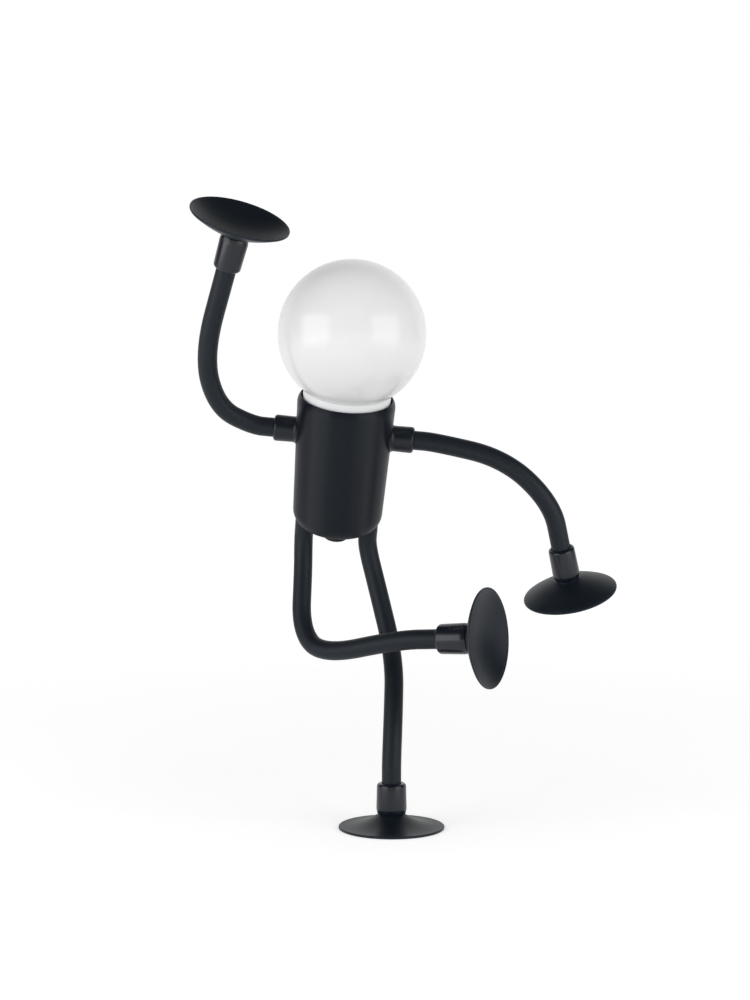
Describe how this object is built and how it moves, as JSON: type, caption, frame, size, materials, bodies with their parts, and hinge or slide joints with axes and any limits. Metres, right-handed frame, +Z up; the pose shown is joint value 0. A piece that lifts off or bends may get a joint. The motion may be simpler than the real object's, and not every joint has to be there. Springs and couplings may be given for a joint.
{
  "type": "robot shaped desk lamp",
  "caption": "Desk lamp shaped like a small robot: an opal globe bulb for a head, a black tapered can for a body, and gooseneck arms and legs that end in suction cups.",
  "frame": {"origin": "centre of the standing suction cup's flat face, on the surface it stands on", "axes": "+Z up, +X to the viewer's right, -Y towards the viewer, who sees the lamp's front"},
  "size_m": [0.2325, 0.1274, 0.338],
  "materials": {
    "black_paint": "satin black powder coat on aluminium",
    "black_plastic": "satin",
    "tube_silicone": "smooth matte",
    "cup_rubber": "smooth, soft sheen",
    "steel": "plain zinc",
    "brass": "plain",
    "socket_plastic": "matt moulded",
    "lead_insulation": "smooth",
    "opal_plastic": "opal, soft sheen",
    "white_plastic": "satin",
    "board": "white solder mask",
    "cap_metal": "nickel plated",
    "cap_glass": "black glass, opaque",
    "solder": "plain"
  },
  "bodies": {
    "standing_foot": {"standing_leg_core_3": "steel", "standing_leg_sleeve_3": "tube_silicone", "standing_leg_end_ferrule": "black_paint", "standing_leg_cup": "cup_rubber"},
    "standing_shin": {"standing_leg_core_2": "steel", "standing_leg_sleeve_2": "tube_silicone"},
    "standing_thigh": {"standing_leg_core_1": "steel", "standing_leg_sleeve_1": "tube_silicone"},
    "torso": {"body_shell": "black_paint", "chassis_plate": "steel", "standoffs": "brass", "socket_plate": "steel", "plate_screws": "steel", "socket_insulator": "socket_plastic", "socket_sleeve": "brass", "socket_contact": "brass", "switch_body": "black_plastic", "switch_nut": "steel", "button_spring": "steel", "power_inlet": "black_plastic", "inlet_nut": "steel", "internal_leads": "lead_insulation", "limb_nuts": "steel", "left_shoulder_ferrule": "black_paint", "right_shoulder_ferrule": "black_paint", "bulb_globe": "opal_plastic", "bulb_housing": "white_plastic", "led_board": "board", "bulb_screw_cap": "cap_metal", "bulb_cap_glass": "cap_glass", "bulb_tip_contact": "solder", "left_arm_core_0": "steel", "right_arm_core_0": "steel", "raised_leg_core_0": "steel", "standing_leg_core_0": "steel"},
    "left_upper_arm": {"left_arm_core_1": "steel", "left_arm_sleeve_1": "tube_silicone"},
    "left_forearm": {"left_arm_core_2": "steel", "left_arm_sleeve_2": "tube_silicone"},
    "left_hand": {"left_arm_core_3": "steel", "left_arm_sleeve_3": "tube_silicone", "left_arm_end_ferrule": "black_paint", "left_arm_cup": "cup_rubber"},
    "right_upper_arm": {"right_arm_core_1": "steel", "right_arm_sleeve_1": "tube_silicone"},
    "right_forearm": {"right_arm_core_2": "steel", "right_arm_sleeve_2": "tube_silicone"},
    "right_hand": {"right_arm_core_3": "steel", "right_arm_sleeve_3": "tube_silicone", "right_arm_end_ferrule": "black_paint", "right_arm_cup": "cup_rubber"},
    "raised_thigh": {"raised_leg_core_1": "steel", "raised_leg_sleeve_1": "tube_silicone"},
    "raised_shin": {"raised_leg_core_2": "steel", "raised_leg_sleeve_2": "tube_silicone"},
    "raised_foot": {"raised_leg_core_3": "steel", "raised_leg_sleeve_3": "tube_silicone", "raised_leg_end_ferrule": "black_paint", "raised_leg_cup": "cup_rubber"},
    "button": {"switch_button": "black_plastic"}
  },
  "joints": [
    {"name": "standing_ankle", "type": "hinge", "parent": "standing_foot", "child": "standing_shin", "pos_m": [0.00049, 0.00291, 0.0474], "axis": [-0.0105, 0.969, -0.247], "range_deg": [-15, 15]},
    {"name": "standing_knee", "type": "hinge", "parent": "standing_shin", "child": "standing_thigh", "pos_m": [-0.00368, 0.03395, 0.11251], "axis": [0.9738, 0.0742, 0.2148], "range_deg": [-15, 15]},
    {"name": "standing_hip", "type": "hinge", "parent": "standing_thigh", "child": "torso", "pos_m": [-0.01333, 0.0382, 0.15691], "axis": [0.0376, 0.9135, 0.405], "range_deg": [-15, 15]},
    {"name": "left_shoulder", "type": "hinge", "parent": "torso", "child": "left_upper_arm", "pos_m": [-0.0701, 0.01282, 0.21942], "axis": [0.0376, 0.9135, 0.405], "range_deg": [-40, 12]},
    {"name": "left_elbow", "type": "hinge", "parent": "left_upper_arm", "child": "left_forearm", "pos_m": [-0.09807, -0.00244, 0.24108], "axis": [0.9816, -0.0926, 0.1667], "range_deg": [-25, 35]},
    {"name": "left_wrist", "type": "hinge", "parent": "left_forearm", "child": "left_hand", "pos_m": [-0.09392, -0.02312, 0.27822], "axis": [0.1536, 0.8847, 0.4402], "range_deg": [-35, 15]},
    {"name": "right_shoulder", "type": "hinge", "parent": "torso", "child": "right_upper_arm", "pos_m": [0.01772, 0.01282, 0.21128], "axis": [0.0376, 0.9135, 0.405], "range_deg": [-40, 12]},
    {"name": "right_elbow", "type": "hinge", "parent": "right_upper_arm", "child": "right_forearm", "pos_m": [0.04099, 0.01161, 0.20673], "axis": [0.2299, -0.0168, 0.9731], "range_deg": [-40, 30]},
    {"name": "right_wrist", "type": "hinge", "parent": "right_forearm", "child": "right_hand", "pos_m": [0.07704, 0.01108, 0.18801], "axis": [-0.0399, 0.9985, 0.0384], "range_deg": [-40, 15]},
    {"name": "raised_hip", "type": "hinge", "parent": "torso", "child": "raised_thigh", "pos_m": [-0.04958, 0.0382, 0.16027], "axis": [0.9957, 0, -0.0924], "range_deg": [-40, 10]},
    {"name": "raised_knee", "type": "hinge", "parent": "raised_thigh", "child": "raised_shin", "pos_m": [-0.05044, 0.03359, 0.12367], "axis": [0.009, -0.9558, 0.2938], "range_deg": [-12, 30]},
    {"name": "raised_ankle", "type": "hinge", "parent": "raised_shin", "child": "raised_foot", "pos_m": [-0.02471, 0.00478, 0.09612], "axis": [-0.1817, 0.1215, 0.9758], "range_deg": [-35, 8]},
    {"name": "button_press", "type": "slide", "parent": "torso", "child": "button", "axis": [0.0844, -0.4067, 0.9096], "range_m": [0, 0.002], "stiffness_N_per_m": 250, "springref_m": -0.0012, "deforming": ["button_spring"]}
  ]
}
